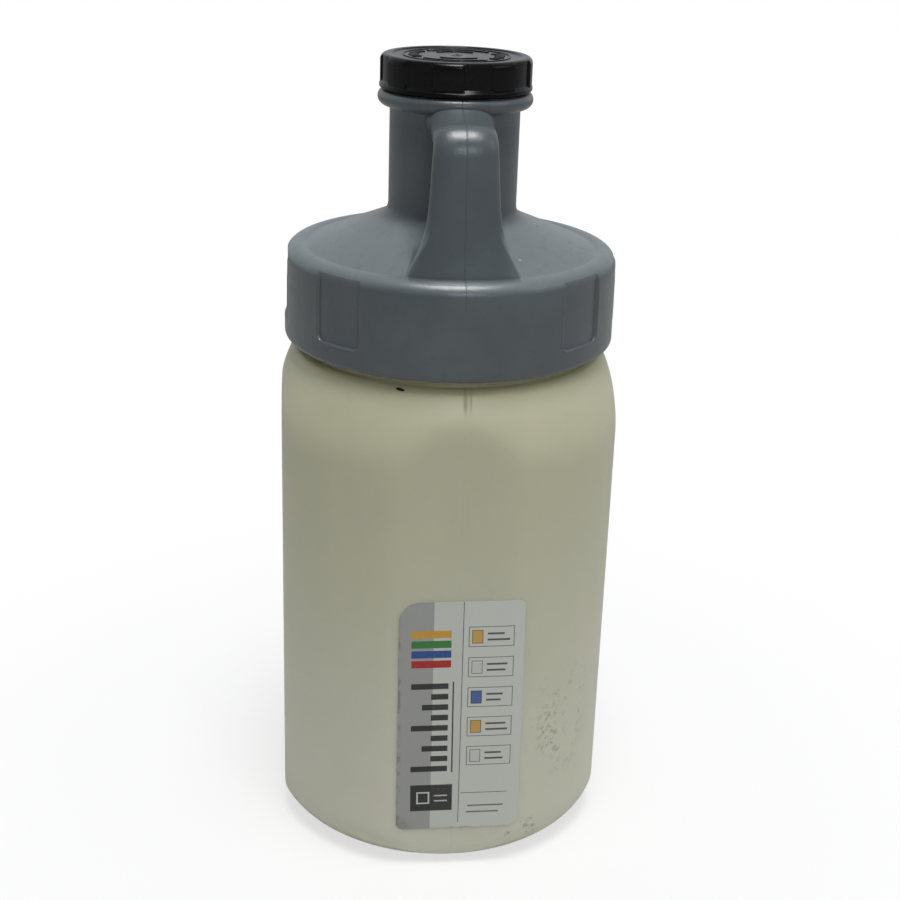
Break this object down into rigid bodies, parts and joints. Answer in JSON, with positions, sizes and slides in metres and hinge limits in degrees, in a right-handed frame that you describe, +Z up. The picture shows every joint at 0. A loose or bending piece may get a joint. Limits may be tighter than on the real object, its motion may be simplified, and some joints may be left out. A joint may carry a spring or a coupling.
{
  "type": "oil storage jug",
  "caption": "Wide-mouth plastic storage drum with bulged flats, a screw lid that carries a spout and a loop handle, and a lobed screw cap.",
  "frame": {"origin": "centre of the drum's base, on the surface it stands on", "axes": "+Z up along the drum's axis, -Y towards the handle and the label, +X to the right of the label"},
  "size_m": [0.1418, 0.1421, 0.336],
  "materials": {
    "drum": "translucent natural polyethylene, satin",
    "label": "silver-grey printed film, satin",
    "lid": "blue-grey polyethylene, satin",
    "seal": "black rubber",
    "cap": "glossy black plastic",
    "liner": "white foam liner"
  },
  "bodies": {
    "drum": {"drum": "drum", "label": "label"},
    "seal_ring": {"lid_seal": "seal"},
    "lid": {"lid": "lid"},
    "liner_disc": {"cap_liner": "liner"},
    "cap": {"cap": "cap"}
  },
  "joints": [
    {"name": "lid_rise", "type": "slide", "parent": "drum", "child": "seal_ring", "axis": [0, 0, 1], "range_m": [0, 0.016]},
    {"name": "lid_turn", "type": "hinge", "parent": "seal_ring", "child": "lid", "pos_m": [0, 0, 0], "axis": [0, 0, 1], "range_deg": [0, 720]},
    {"name": "cap_rise", "type": "slide", "parent": "lid", "child": "liner_disc", "axis": [0, 0, 1], "range_m": [0, 0.01]},
    {"name": "cap_turn", "type": "hinge", "parent": "liner_disc", "child": "cap", "pos_m": [0, 0, 0], "axis": [0, 0, 1], "range_deg": [0, 900]}
  ],
  "couplings": [
    {"joint": "lid_rise", "follows": "lid_turn", "m_per_rad": 0.0012732},
    {"joint": "cap_rise", "follows": "cap_turn", "m_per_rad": 0.00063661}
  ]
}
